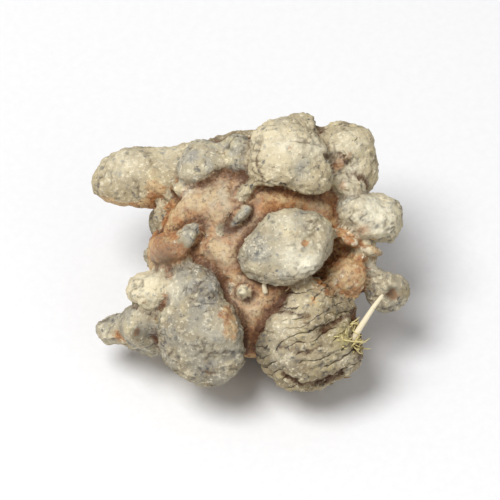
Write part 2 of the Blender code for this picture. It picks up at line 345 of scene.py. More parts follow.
def bending_waves():
    """The waves as (way in which the wave runs, way in which it pushes, phase), from a fixed seed."""
    chooser = random.Random(WAVE_SEED)
    found = []
    for count, length, height in WAVES:
        for _ in range(count):
            run, push = (np.array([chooser.gauss(0, 1) for _ in range(3)]) for _ in range(2))
            run *= 2 * math.pi / length / np.linalg.norm(run)
            push *= height / np.linalg.norm(push)
            found.append((run, push, chooser.uniform(0, 2 * math.pi)))
    return found


BENDS = bending_waves()


def wobble(points):
    """A slow bend of space that makes the plain ellipsoids irregular."""
    return sum(np.sin(points @ run + phase)[:, None] * push for run, push, phase in BENDS)


def distance_to(points, shape):
    """Roughly how far each point lies outside an ellipsoid."""
    local = (points - shape["at"]) @ shape["axes"]
    near = np.linalg.norm(local / shape["radii"], axis=1)
    slope = np.linalg.norm(local / shape["radii"] ** 2, axis=1)
    return near * (near - 1) / np.maximum(slope, 1e-6)


def melted(points, shapes, melt):
    """The distance to several ellipsoids that run into each other over the width of the melt."""
    total = distance_to(points, shapes[0])
    for shape in shapes[1:]:
        other = distance_to(points, shape)
        share = np.clip(0.5 + 0.5 * (other - total) / melt, 0, 1)
        total = other * (1 - share) + total * share - melt * share * (1 - share)
    return total


def split_depth(points):
    """How deep the splits cut into the side that faces the eye."""
    depth = np.zeros(len(points))
    for deep, line in SPLITS:
        for start, end in zip(line, line[1:]):
            start, run = np.array(start), np.subtract(end, start)
            along = np.clip((points[:, :2] - start) @ run / (run @ run), 0, 1)
            aside = np.linalg.norm(points[:, :2] - start - along[:, None] * run, axis=1)
            cut = deep * np.exp(-((aside / SPLIT_WIDTH) ** 2))
            depth = np.maximum(depth, cut * (points[:, 2] > SPLIT_FRONT))
    return depth


def fields(points):
    """The distance to the body and to each knob, one row for each."""
    bent = points + wobble(points)
    rows = [melted(bent, BODY + FINGER, BODY_MELT)]
    return np.array(rows + [melted(bent, knob, KNOB_MELT) for knob in knobs])


def distance(points):
    """The distance outside the root's skin, below zero inside it."""
    nearest = np.partition(fields(points), 1, axis=0)[:2]
    gap = (nearest[1] - nearest[0]) / GROOVE_WIDTH
    return nearest[0] + GROOVE_DEPTH * np.exp(-(gap**2)) + split_depth(points)


print("the middle is", round(float(distance(np.zeros((1, 3)))[0]), 1), "mm from the skin")

# %% [markdown]
# ## The fine skin
#
# The ellipsoids start as loose spheres. A voxel remesh fuses them into one closed skin of even quads,
# three tenths of a millimetre wide. Then each point is pulled along the slope of the distance, a few times
# over, until it lies on the skin. Pulling a closed mesh is simpler than building one from the
# distance, and the mesh stays closed whatever happens.

# %% Fuse the spheres and pull the skin on
FINE_VOXEL = 0.30
FINE_PULLS = 5
SPHERE_STEPS = 4
FEEL = 0.04
MOST_PULL = 0.5
LEAST_SLOPE = 0.3
UNBEND_STEPS = 3


def starting_mesh():
    """All the ellipsoids as loose spheres in one mesh, fused into one closed skin."""
    whole = bmesh.new()
    for shape in BODY + FINGER + [shape for knob in knobs for shape in knob]:
        ball = bmesh.ops.create_icosphere(whole, subdivisions=SPHERE_STEPS, radius=1)["verts"]
        plain = np.array([vert.co for vert in ball]) * shape["radii"] @ shape["axes"].T + shape["at"]
        bent = plain
        for _ in range(UNBEND_STEPS):
            bent = plain - wobble(bent)
        for vert, place in zip(ball, bent):
            vert.co = place
    loose = bpy.data.meshes.new("loose")
    whole.to_mesh(loose)
    whole.free()
    holder = new_object("loose", loose)
    fuse = holder.modifiers.new("fuse", "REMESH")
    fuse.mode = "VOXEL"
    fuse.voxel_size = FINE_VOXEL
    graph = bpy.context.evaluated_depsgraph_get()
    fused = bpy.data.meshes.new_from_object(holder.evaluated_get(graph))
    bpy.data.objects.remove(holder)
    return fused


def rows_of(items, key, width=3, kind=np.float32):
    """What a mesh keeps for each vertex or edge, one row for each."""
    flat = np.empty(len(items) * width, kind)
    items.foreach_get(key, flat)
    return flat.reshape(-1, width)


def point_array(mesh):
    return rows_of(mesh.vertices, "co").astype(float)


def normal_array(mesh):
    return rows_of(mesh.vertex_normals, "vector").astype(float)


def place_points(mesh, points):
    mesh.vertices.foreach_set("co", points.astype(np.float32).ravel())
    mesh.update()


def evened(points, edges):
    """Each point moved a third of the way to the mean of its neighbours."""
    ends = np.concatenate((edges, edges[:, ::-1]))
    count = np.bincount(ends[:, 0], minlength=len(points))
    mean = [np.bincount(ends[:, 0], points[ends[:, 1], axis], len(points)) for axis in range(3)]
    return points + (np.array(mean).T / count[:, None] - points) / 3


def pulled(points):
    """The points moved along the slope of the distance onto the skin."""
    here = distance(points)
    slope = np.stack([(distance(points + FEEL * side) - here) / FEEL for side in np.eye(3)], 1)
    steep = np.maximum((slope**2).sum(axis=1), LEAST_SLOPE)
    return points - slope * (np.clip(here, -MOST_PULL, MOST_PULL) / steep)[:, None]


skin = starting_mesh()
skin_edges = rows_of(skin.edges, "vertices", 2, np.int32)
places = point_array(skin)
for _ in range(FINE_PULLS):
    places = pulled(evened(places, skin_edges))
places = evened(places, skin_edges)
place_points(skin, places)
print(len(skin.polygons), "quads in the fine skin")

# %% [markdown]
# ## What the skin knows about itself
#
# The finish needs to know where it is: on top of a knob or down in a crease, on bare skin or on dusty
# bark. The distance fields already hold the answer, so it is stored on the mesh as attributes before
# the bark is raised. Each knob also has its own tone, as the real ones do.

# %% Tones of the knobs and the marks on them

# pale, cool, bare, split and coarse, from 0 to 1: how bleached, how grey, how much orange skin shows, how
# much the bark has split into long cracks, and how rough it is
TONES = {
    "saddle": (0.65, 0.65, 0.00, 0.1, 0.45),
    "crown": (0.74, 0.12, 0.00, 0.3, 0.85),
    "crown_bead": (0.60, 0.30, 0.10, 0.2, 0.60),
    "crown_back": (0.60, 0.25, 0.10, 0.3, 0.80),
    "shoulder": (0.70, 0.15, 0.10, 0.6, 0.65),
    "shoulder_low": (0.75, 0.20, 0.10, 0.4, 0.60),
    "right_knob": (0.80, 0.35, 0.05, 0.2, 0.60),
    "button": (0.50, 0.45, 0.00, 0.1, 0.50),
    "leaf": (0.15, 0.10, 0.90, 0.2, 0.55),
    "sliver": (0.40, 0.90, 0.00, 0.1, 0.40),
    "left_egg": (0.18, 0.55, 0.00, 0.15, 0.70),
    "left_pale": (1.00, 0.00, 0.00, 0.2, 0.60),
    "left_low": (0.45, 0.60, 0.05, 0.2, 0.70),
    "right_egg": (0.25, 0.12, 0.05, 1.0, 1.00),
    "right_egg_scab": (0.60, 0.00, 0.10, 0.6, 0.90),
    "hump": (0.15, 0.10, 0.75, 0.4, 0.60),
    "stub": (0.30, 0.55, 0.30, 0.2, 0.60),
    "pearl": (1.00, 0.00, 0.00, 0.0, 0.20),
    "claw_high": (0.25, 0.10, 0.65, 0.2, 0.50),
    "claw_low": (0.35, 0.20, 0.50, 0.2, 0.50),
    "bud": (0.80, 0.05, 0.20, 0.0, 0.40),
    "rib": (0.50, 0.20, 0.30, 0.1, 0.40),
}
BODY_TONE = (0.25, 0.15, 1.00, 0.2, 0.75)
FINGER_TONE = (0.52, 0.06, 0.00, 0.15, 0.40)

# Patches that differ from their knob, as (across, up, radius, strength), where the eye meets the skin.
# Bleach is rubbed pale, and on the crown's upper left it is a painted highlight. Cool is grey, and on the
# crown's lower right it is painted shade. Bare has lost its bark, bark has kept it, and stain is dark; the
# large stains low on the two eggs and between them are painted shade. Straw is yellowed by straw dust, dust
# lies on bare skin, open is skin worn tan, and calm is a shallow join.
PATCHES = {
    # The two on the crown's upper left paint a highlight; the rest are rubbed pale
    "bleach": [
        (4.0, 16.0, 3.8, 0.45), (5.4, 15.6, 1.9, 0.80), (8.4, -2.2, 1.9, 1.00), (6.3, -1.0, 2.2, 0.70),
        (5.4, 4.2, 2.0, 0.45), (19.0, 5.8, 3.4, 1.00), (15.6, 4.8, 1.6, 0.50), (13.4, 9.8, 2.2, 0.60),
        (14.6, 15.0, 3.0, 0.45), (-15.0, -3.6, 4.5, 0.50), (4.4, -8.8, 3.0, 0.35), (-18.5, 13.2, 4.0, 0.45),
        (-11.0, 14.6, 3.4, 0.40), (-5.2, -12.6, 3.2, 0.35), (-8.6, 8.8, 1.3, 0.80), (15.8, -13.5, 3.0, 0.35),
        (10.4, 14.8, 1.6, 0.60), (15.1, 11.4, 1.7, 0.80), (-11.0, -4.8, 1.8, 0.60), (-0.4, -5.6, 1.7, 0.90),
        (-3.2, 2.9, 0.8, 0.50), (0.4, 6.6, 0.7, 0.60),
    ],
    "cool": [
        (1.0, -0.6, 3.2, 0.75), (4.2, -3.4, 1.6, 0.70), (13.6, 7.2, 2.2, 0.95), (-6.8, -6.2, 4.2, 0.95),
        # The patch at (8.0, 11.8), on the crown's lower right, is painted shade
        (-7.4, 3.4, 2.2, 0.90), (20.8, -6.2, 1.9, 0.95), (8.0, 11.8, 2.4, 0.70), (3.6, -15.2, 3.4, 0.40),
        (-3.3, -4.8, 1.9, 0.80), (-3.4, 13.0, 3.4, 0.60), (-12.8, -8.6, 1.8, 0.60),
    ],
    "bare": [
        (13.0, 12.2, 1.4, 0.95), (14.4, 13.2, 0.9, 0.80), (11.4, -4.6, 2.6, 0.90), (9.0, -6.4, 1.6, 0.55),
        (11.8, -2.0, 1.4, 1.00), (-2.4, -8.6, 1.9, 1.00), (-2.0, -10.8, 1.7, 1.00), (-18.6, -12.8, 2.4, 0.65),
        (13.2, 9.8, 1.0, 0.90), (16.4, 2.6, 1.6, 0.80), (-13.6, 8.4, 2.2, 0.85),
    ],
    "bark": [
        (-7.6, 3.2, 2.4, 1.00), (-3.3, -4.8, 1.7, 0.95), (-3.2, 2.9, 1.1, 0.90), (-11.0, -4.9, 1.8, 1.00),
        (-3.0, 17.0, 4.8, 0.95), (2.5, 17.8, 4.5, 0.95), (20.6, -6.4, 2.2, 0.90),
    ],
    # The three large ones, low on the two eggs and in the gap between them, are painted shade
    "stain": [
        (-16.1, -11.6, 1.0, 0.85), (20.8, -6.4, 1.0, 0.80), (12.6, -7.8, 1.0, 0.40), (-12.0, -1.2, 2.2, 0.60),
        (-9.8, 0.4, 1.2, 0.35), (-13.6, -2.0, 1.2, 0.60), (-6.4, -14.0, 4.6, 0.30), (9.0, -15.4, 4.2, 0.22),
        (1.2, -13.6, 2.6, 0.60),
    ],
    "straw": [
        (-0.4, -5.6, 1.3, 0.30), (14.2, -12.4, 1.7, 0.75), (15.4, -10.2, 1.2, 0.50),
    ],
    "dust": [
        (-3.2, 8.4, 5.0, 0.85), (-1.5, 3.6, 4.0, 0.75), (-4.2, -0.4, 4.0, 0.60), (-8.5, 7.0, 3.0, 0.45),
        (0.0, 16.0, 4.5, 0.90), (-0.6, -4.2, 3.0, 0.35), (-0.6, -8.4, 3.0, 0.50), (10.2, 6.4, 2.4, 0.40),
        (14.0, -3.0, 2.4, 0.35),
    ],
    "open": [
        (12.8, -3.4, 2.8, 0.90), (16.6, -4.0, 2.0, 0.80), (-1.6, -7.4, 2.2, 0.60), (-2.0, -10.0, 2.0, 0.80),
    ],
    "calm": [
        (-10.6, 13.0, 3.4, 0.90), (-9.8, 10.0, 2.0, 0.60), (0.9, 14.4, 2.6, 0.65), (-3.8, 9.4, 2.4, 0.60),
        (-10.4, -6.4, 2.4, 0.75), (-0.4, -5.6, 1.6, 0.50), (-11.0, -4.9, 2.0, 0.90), (11.8, -2.0, 1.3, 0.70),
        (-10.6, -10.4, 1.8, 0.55),
    ],
}

# Scars of cut rootlets, as (across, up, radius)
SCARS = [
    (8.6, 1.5, 0.90),
    (-16.1, -11.6, 0.75),
    (20.8, -6.4, 1.30),
]
HIDDEN_SCARS = 14
print(len(TONES), "tones,", sum(map(len, PATCHES.values())), "patches,", len(SCARS), "scars in sight")

# %% Store the attributes
TONE_SEED = 7
RING_SEED = 3
GUESSED_BARE = 0.05
FINGER_EDGE = (-1.6, 0.6)
HIDDEN_BARK = 0.6
HIDDEN_BARK_FROM = (1.0, -4.0)
SEEN_REACH = 0.5
RISE_FROM = 0.2
RISE_SHARE = 0.22
MOST_RISE = 0.80
AWAY_FROM_LIGHT = (0.45, -0.85, -0.30)
UNDER_EDGE = (0.1, 0.9)
UNDER_RISE = 1.0
UNDER_FINGER = 0.95
UNDER_FINGER_EDGE = (0.05, 0.55)
OPEN_EDGE = (0.6, 2.2)
CREASE_REACH = 0.85
CREASE_SHARE = 0.2
SPLIT_SHADE = 0.75
SPLIT_SHADE_EDGE = (0.15, 0.5)
RING_STRETCH = 2.2
BODY_STRETCH = 1.3


def smooth_step(low, high, values):
    share = np.clip((values - low) / (high - low), 0, 1)
    return share * share * (3 - 2 * share)


def store(mesh, name, values):
    kind, key = ("FLOAT", "value") if values.ndim == 1 else ("FLOAT_VECTOR", "vector")
    layer = mesh.attributes.new(name, kind, "POINT")
    layer.data.foreach_set(key, np.ascontiguousarray(values, np.float32).ravel())


all_fields = fields(places)
owner = all_fields.argmin(axis=0)
nearest = np.partition(all_fields, 1, axis=0)[:2]
gap = nearest[1] - nearest[0]

tone_chooser = random.Random(TONE_SEED)
tones = [BODY_TONE] + list(TONES.values())
while len(tones) < len(knobs) + 1:
    pale, cool, split = (tone_chooser.uniform(low, high) for low, high in ((0.2, 0.8), (0, 0.8), (0, 0.8)))
    tones.append((pale, cool, GUESSED_BARE, split, tone_chooser.uniform(0.5, 1.0)))
tones = np.array(tones)[owner]
bent = places + wobble(places)
finger_lead = melted(bent, BODY, BODY_MELT) - melted(bent, FINGER, BODY_MELT)
finger_share = smooth_step(*FINGER_EDGE, finger_lead) * (owner == 0)
tones += finger_share[:, None] * (np.array(FINGER_TONE) - BODY_TONE)
pale, cool, bare, split, coarse = tones.T


def seen_place(points, across, up):
    """The point that the eye meets first at one place of the layout."""
    aside = np.hypot(points[:, 0] - across, points[:, 1] - up)
    near = aside < max(SEEN_REACH, aside.min() * 1.01)
    return points[np.where(near, points[:, 2], -np.inf).argmax()]


patches = {kind: np.zeros(len(places)) for kind in PATCHES}
for kind, spots in PATCHES.items():
    for across, up, radius, strength in spots:
        away = np.linalg.norm(places - seen_place(places, across, up), axis=1) / radius
        patches[kind] = np.maximum(patches[kind], strength * np.exp(-(away**2)))
bare = bare * (1 - HIDDEN_BARK * smooth_step(*HIDDEN_BARK_FROM, places[:, 2]) * (owner == 0))
cool = np.maximum(cool, patches["cool"])
bare = np.maximum(bare, patches["bare"]) * (1 - patches["bark"])

# Bark gives way to bare skin low on a knob. On the side away from the light it stops lower, and the finger's
# underside turns orange, which is painted shade
facing_away = normal_array(skin) @ (np.array(AWAY_FROM_LIGHT) / np.linalg.norm(AWAY_FROM_LIGHT))
# Painted shadow: the finger's underside, away from the light, is shown as orange skin
bare = np.maximum(bare, UNDER_FINGER * smooth_step(*UNDER_FINGER_EDGE, facing_away) * finger_share)
knob_sizes = [BODY[0]["radii"].min()] + [max(shape["radii"].min() for shape in knob) for knob in knobs]
knob_size = np.array(knob_sizes)[owner]
rise_to = np.minimum(knob_size * RISE_SHARE, MOST_RISE)
# Painted shade: the bark stops lower on the side away from the light
rise_to *= 1 + UNDER_RISE * smooth_step(*UNDER_EDGE, facing_away)
rise = np.maximum(smooth_step(0, 1, (gap - RISE_FROM) / (rise_to - RISE_FROM)), patches["calm"])
crease = np.exp(-((gap / np.minimum(knob_size * CREASE_SHARE, CREASE_REACH)) ** 2)) * (1 - patches["calm"])
crease = np.maximum(crease, SPLIT_SHADE * smooth_step(*SPLIT_SHADE_EDGE, split_depth(places)))
open_skin = np.maximum(smooth_step(*OPEN_EDGE, gap) * (owner == 0), patches["open"])

# Wrinkles ring each knob, so the pattern's own space is stretched along the knob's growing axis
ring_chooser = random.Random(RING_SEED)
ring_axes = [Vector((1, 0.1, 0)), *(Vector((0.15, 1, 0.1)) for _ in FACE_KNOBS)]
while len(ring_axes) < len(knobs) + 1:
    ring_axes.append(Vector([ring_chooser.gauss(0, 1) for _ in range(3)]))
ring_axes = np.array([axis.normalized() for axis in ring_axes])[owner]
stretch = np.where(owner == 0, BODY_STRETCH, RING_STRETCH) - 1
ring_place = places + (stretch * (places * ring_axes).sum(axis=1))[:, None] * ring_axes

marks = {"rise": rise, "crease": crease, "open": open_skin, "pale": pale, "cool": cool, "bare": bare}
marks |= {"split": split, "coarse": coarse, "ring_place": ring_place}
marks |= {kind: patches[kind] for kind in ("bleach", "stain", "dust", "straw")}
for name, values in marks.items():
    store(skin, name, values)
print("share of the skin that is bare:", round(float(bare.mean()), 2))

# %% [markdown]
# ## Shrinking
#
# As it dries, the skin sags between its stronger fibres and puckers. The slow sag and the pucker are
# the part's own, so they use the same noise. The rootlet scars are small: a raised rim round a sunk
# middle.

# %% Sag, pucker and scars
SAG_SIZE = 5.0
SAG_DEPTH = 0.38
FOLD_SIZE = 4.0
FOLD_REACH = 1.2
PUCKER_SIZE = 2.3
PUCKER_DEPTH = 0.20
SCAR_SEED = 21
SCAR_RADII = (0.4, 0.9)
SCAR_RISE = 0.95
SCAR_FRONT = 1.0
SCAR_RIM = 0.22
SCAR_HOLLOW = 0.38
DISH_PLACE = (5.6, 0.6, 14.0)
DISH_RADII = (4.9, 3.6, 3.0)
DISH_TURN = math.radians(27)
DISH_DEPTH = 0.45
DISH_RIM = 0.22


def dried_relief(place):
    """Height of the shrunken skin above its smooth form at one place."""
    sag = noise.noise(place / SAG_SIZE) * SAG_DEPTH
    folded = place + FOLD_REACH * noise.noise_vector(place / FOLD_SIZE)
    return sag + (0.5 - abs(noise.noise(folded / PUCKER_SIZE)) * 2) * PUCKER_DEPTH


heights = np.array([dried_relief(vert.co) for vert in skin.vertices])
normals = normal_array(skin)

scars = [(seen_place(places, across, up), radius) for across, up, radius in SCARS]
scar_chooser = random.Random(SCAR_SEED)
tops = np.flatnonzero((rise > SCAR_RISE) & (places[:, 2] < SCAR_FRONT))
for _ in range(HIDDEN_SCARS):
    scars.append((places[tops[scar_chooser.randrange(len(tops))]], scar_chooser.uniform(*SCAR_RADII)))
scar_mask = np.zeros(len(places))
for place, radius in scars:
    away = np.linalg.norm(places - place, axis=1) / radius
    heights += SCAR_RIM * radius * np.exp(-(((away - 1) / 0.35) ** 2))
    heights -= SCAR_HOLLOW * radius * np.exp(-((away / 0.7) ** 2))
    scar_mask = np.maximum(scar_mask, np.exp(-((away / 0.75) ** 4)))
store(skin, "scar", scar_mask)

# The button's top has sunk flat, which leaves a rounded rim
dish_axes = np.array(Euler((0, 0, DISH_TURN)).to_matrix())
dish = np.linalg.norm((places - DISH_PLACE) @ dish_axes / DISH_RADII, axis=1)
heights -= DISH_DEPTH * smooth_step(1.1, 0.75, dish)
heights += DISH_RIM * np.exp(-(((dish - 1.12) / 0.16) ** 2)) * (owner == 1 + list(TONES).index("button"))
layout = places + normals * heights[:, None]
place_points(skin, layout)
print("relief from", round(heights.min(), 2), "to", round(heights.max(), 2), "mm")

# %% Turn the layout level and stand it on the ground
skin.transform(Matrix(seen_axes()).to_4x4())
places = point_array(skin)
low, high = places.min(axis=0), places.max(axis=0)
footing = np.array(((low[0] + high[0]) / 2, (low[1] + high[1]) / 2, GROUND))
place_points(skin, (places - footing) * MM)
print("fine skin in mm:", [round(side, 1) for side in high - low])

# %% [markdown]
# ## Sums on a node tree
#
# The bark and the colours come from node trees, and those are long sums over the surface. Each node
# could be made and linked by hand, but then the sum is lost among the links. Here what comes out of a
# node is wrapped, so that plain plus, minus and times make the Math nodes.

# %% Helpers for node trees
FLOAT = "NodeSocketFloat"
COLOUR = "NodeSocketColor"
VECTOR = "NodeSocketVector"
GEOMETRY = "NodeSocketGeometry"
KINDS = {float: FLOAT, int: "NodeSocketInt", tuple: COLOUR}


def add(tree, kind, inputs=None, **settings):
    """A node with its settings, and its inputs set to values or linked to flows."""
    made = tree.nodes.new(kind)
    for name, value in settings.items():
        setattr(made, name, value)
    for key, value in (inputs or {}).items():
        if isinstance(value, Flow):
            tree.links.new(value.socket, made.inputs[key])
        else:
            made.inputs[key].default_value = value
    return made


class Flow:
    """What comes out of a node, which plain sums can be written with."""

    def __init__(self, node, output=0):
        self.tree, self.socket = node.id_data, node.outputs[output]

    def maths(self, operation, *values, **settings):
        inputs = dict(enumerate(values))
        return Flow(add(self.tree, "ShaderNodeMath", inputs, operation=operation, **settings))

    def __add__(self, other):
        return self.maths("ADD", self, other)

    def __sub__(self, other):
        return self.maths("SUBTRACT", self, other)

    def __rsub__(self, other):
        return self.maths("SUBTRACT", other, self)

    def __mul__(self, other):
        return self.maths("MULTIPLY", self, other)

    def __truediv__(self, other):
        return self.maths("DIVIDE", self, other)

    def __rtruediv__(self, other):
        return self.maths("DIVIDE", other, self)

    def __abs__(self):
        return self.maths("ABSOLUTE", self)


def flow(tree, kind, inputs=None, output=0, **settings):
    """What comes out of a new node."""
    return Flow(add(tree, kind, inputs, **settings), output)


def new_tree(name, kind, inputs, outputs):
    """A tree and its inputs by name. Each is given by its value, or by its kind where it has none."""
    tree = bpy.data.node_groups.new(name, kind)
    for key, value in inputs.items():
        kind = value if isinstance(value, str) else KINDS[type(value)]
        socket = tree.interface.new_socket(key, in_out="INPUT", socket_type=kind)
        if kind != value:
            socket.default_value = value
    for key, kind in outputs.items():
        tree.interface.new_socket(key, in_out="OUTPUT", socket_type=kind)
    start = add(tree, "NodeGroupInput")
    return tree, {key: Flow(start, key) for key in inputs}


def stored(tree, name, kind="FLOAT"):
    """An attribute of the skin, by its name."""
    if tree.bl_idname == "ShaderNodeTree":
        return flow(tree, "ShaderNodeAttribute", output="Fac", attribute_name=name)
    return flow(tree, "GeometryNodeInputNamedAttribute", {"Name": name}, "Attribute", data_type=kind)


def bark_share(tree):
    """Knob tops carry the bark, and the bare skin and the painted orange shade carry none."""
    return stored(tree, "rise") * (1.0 - stored(tree, "bare"))


def ramp(value, low, high, from_value=0.0, to_value=1.0):
    """A smooth step from one value to another."""
    inputs = {"Value": value, "From Min": low, "From Max": high, "To Min": from_value, "To Max": to_value}
    return flow(value.tree, "ShaderNodeMapRange", inputs, interpolation_type="SMOOTHSTEP")


def grow(vector, factor):
    return flow(vector.tree, "ShaderNodeVectorMath", {0: vector, "Scale": factor}, operation="SCALE")


def shifted(vector, shift):
    return flow(vector.tree, "ShaderNodeVectorMath", {0: vector, 1: shift}, operation="ADD")


def noise_at(place, detail=2.0, roughness=0.5, seed=0.0, output="Fac"):
    inputs = {"Vector": place, "W": seed, "Scale": 1.0, "Detail": detail, "Roughness": roughness}
    return flow(place.tree, "ShaderNodeTexNoise", inputs, output, noise_dimensions="4D")


def cells_at(place, feature="F1"):
    return add(place.tree, "ShaderNodeTexVoronoi", {"Vector": place, "Scale": 1.0}, feature=feature)


print("node helpers ready")

# %% Long cracks, for the bark and for its colour
FISSURE_SPACING = 1.6
FISSURE_WAVER = 4.2
FISSURE_LEAN = -0.5


def fissure_at(place, split, half_width):
    """A mask of long cracks that run round a knob, where wavering stripes turn over. Place and width are
    in millimetres, and split says how much of each stripe has opened."""
    across_stripes = Vector((FISSURE_LEAN, math.sin(LOOK_DOWN), math.cos(LOOK_DOWN)))
    ends = {0: place, 1: across_stripes}
    along = flow(place.tree, "ShaderNodeVectorMath", ends, "Value", operation="DOT_PRODUCT")
    stripe = along / FISSURE_SPACING + noise_at(grow(place, 0.17), 3.0, 0.5, 12.0) * FISSURE_WAVER
    from_line = abs(stripe.maths("FRACT", stripe) - 0.5)
    shut = noise_at(grow(place, 0.42), 2.0, 0.5, 30.0) - (split * 0.28 + 0.24)
    wide = ramp(shut, -0.20, 0.0, 1.7, 0.5) * (half_width / FISSURE_SPACING)
    return ramp(from_line, 0.0, wide, 1.0, 0.0) * ramp(shut, -0.05, 0.05, 1.0, 0.0)


# %% [markdown]
# ## Bark by Geometry Nodes
#
# Bark follows a rule over the whole surface, so a node tree raises it: wrinkles that ring each knob, a
# net of fine cracks, and small pits. The tree reads the stored attributes, so that the cracks stay on
# the dusty knobs and the bare skin is left smoother. It also stores what it made, for the colours.

# %% The bark tree
FISSURE_VALLEY = 0.34
BARK_SEED = 3.0


def skin_tree(name, inputs):
    """A tree that takes the skin, named sizes and a material, and gives a mesh."""
    inputs = {"Skin": GEOMETRY, **inputs, "Material": "NodeSocketMaterial"}
    return new_tree(name, "GeometryNodeTree", inputs, {"Mesh": GEOMETRY})


def finish_tree(tree, shape, given):
    """Ends a tree with plain faces that carry the material."""
    shape = flow(tree, "GeometryNodeRealizeInstances", {"Geometry": shape})
    inputs = {"Geometry": shape, "Material": given["Material"]}
    add(tree, "NodeGroupOutput", {"Mesh": flow(tree, "GeometryNodeSetMaterial", inputs)})
    return tree


def bark_tree():
    """Raises wrinkles, cracks and pits along the normal, and stores the masks that the colour needs."""
    sizes = {
        "Wrinkle Size": 4.2 * MM,
        "Wrinkle Height": 0.30 * MM,
        "Crack Size": 3.2 * MM,
        "Crack Depth": 0.22 * MM,
        "Fissure Depth": 0.30 * MM,
        "Pit Size": 1.5 * MM,
        "Pit Depth": 0.26 * MM,
        "Grain Size": 0.9 * MM,
        "Grain Height": 0.22 * MM,
        "Seed": BARK_SEED,
    }
    tree, given = skin_tree("raise_bark", sizes)
    seed = given["Seed"]
    place = flow(tree, "GeometryNodeInputPosition")
    ring_place = grow(stored(tree, "ring_place", "FLOAT_VECTOR"), MM)
    cover = bark_share(tree) * 0.6 + 0.4

    def scaled(vector, size):
        return grow(vector, 1.0 / given[size])

    # Ringed wrinkles: ridges where a stretched noise crosses its middle
    from_middle = abs(noise_at(scaled(ring_place, "Wrinkle Size"), 3.0, 0.55, seed) - 0.5)
    wrinkle = ramp(from_middle, 0.0, 0.09) - 0.65

    # Cracks: the edges of warped cells, in some patches
    warp = noise_at(scaled(place, "Crack Size"), 2.0, 0.5, seed, "Color")
    warped = shifted(scaled(ring_place, "Crack Size"), grow(warp, 1.3))
    edge = Flow(cells_at(warped, "DISTANCE_TO_EDGE"), "Distance")
    patch = noise_at(scaled(place, "Wrinkle Size"), 1.0, 0.5, seed)
    crack = ramp(edge, 0.0, 0.075, 1.0, 0.0) * cover * ramp(patch, 0.46, 0.60)

    # Fissures: the long cracks, as wide valleys here, with a thin dark line in the finish
    valley = fissure_at(grow(place, 1 / MM), stored(tree, "split"), FISSURE_VALLEY) * cover

    # Pits: the ragged middles of some cells
    ragged = noise_at(scaled(place, "Grain Size"), 2.0, 0.6, seed, "Color")
    cells = cells_at(shifted(scaled(place, "Pit Size"), grow(ragged, 0.8)))
    some = ramp(Flow(cells, "Color"), 0.45, 0.55)
    pit = ramp(Flow(cells, "Distance"), 0.12, 0.34, 1.0, 0.0) * some * cover

    # Grain: the granular top of dried bark
    grain = (noise_at(scaled(place, "Grain Size"), 1.0, 0.6, seed) - 0.5) * cover

    height = wrinkle * given["Wrinkle Height"] - crack * given["Crack Depth"] - pit * given["Pit Depth"]
    height = (height + grain * (given["Grain Height"] * 2.0)) * stored(tree, "coarse")
    height = height - valley * given["Fissure Depth"]
    shape = given["Skin"]
    for name, mask in (("crack", crack), ("pit", pit)):
        keep = {"Geometry": shape, "Name": name, "Value": mask}
        shape = flow(tree, "GeometryNodeStoreNamedAttribute", keep, data_type="FLOAT", domain="POINT")
    raised = {"Geometry": shape, "Offset": grow(flow(tree, "GeometryNodeInputNormal"), height)}
    return finish_tree(tree, flow(tree, "GeometryNodeSetPosition", raised), given)


def grown(name, source_mesh, tree, values):
    """Runs a tree on a mesh and gives the result back as a plain mesh."""
    holder = new_object(name, source_mesh)
    grower = holder.modifiers.new("grow", "NODES")
    grower.node_group = tree
    names = {item.name: item.identifier for item in tree.interface.items_tree if item.in_out == "INPUT"}
    for key, value in values.items():
        grower[names[key]] = value
    graph = bpy.context.evaluated_depsgraph_get()
    made = bpy.data.meshes.new_from_object(holder.evaluated_get(graph))
    bpy.data.objects.remove(holder)
    made.name = name
    return made


def finished_piece(mesh, floor=None):
    """A smooth piece from a mesh, with no point below the floor."""
    if floor is not None:
        points = point_array(mesh)
        points[:, 2] = np.maximum(points[:, 2], floor)
        place_points(mesh, points)
    mesh.shade_smooth()
    return new_object(mesh.name, mesh)


def new_material(name):
    made = bpy.data.materials.new(name)
    made.use_nodes = True
    return made


bark_material = new_material("dried_bark")
bark_mesh = grown("bark_skin", skin, bark_tree(), {"Seed": BARK_SEED, "Material": bark_material})
print(len(bark_mesh.polygons), "quads after the bark is raised")

# %% Wear the lying knobs flat
worn = int((point_array(bark_mesh)[:, 2] < 0).sum())
bark_skin = finished_piece(bark_mesh, floor=0)
print(worn, "points worn flat on the ground")

# %% [markdown]
# ## Warts
#
# Small hard warts, the lenticels that the living root breathed through, sit all over the knobs. They
# repeat hundreds of times, so a second tree scatters one low dome over the skin. Poisson spacing keeps
# them apart, and each inherits the skin's attributes, so that one material colours both.

# %% Scatter the warts
WART_SEED = 4
WART_SIZES = (0.4, 1.3)
WART_FLOOR = 0.01 * MM


def scattered(tree, given, factor, **spread):
    """Copies of a shape over the skin, at least the spacing apart, and fewer where the factor is low."""
    throw = {
        "Mesh": given["Skin"],
        "Distance Min": given["Spacing"],
        "Density Max": given["Density"],
        "Density Factor": factor,
        "Seed": given["Seed"],
    }
    thrown = add(tree, "GeometryNodeDistributePointsOnFaces", throw, distribute_method="POISSON")
    spread = {"Points": Flow(thrown, "Points"), "Rotation": Flow(thrown, "Rotation"), **spread}
    return flow(tree, "GeometryNodeInstanceOnPoints", spread)


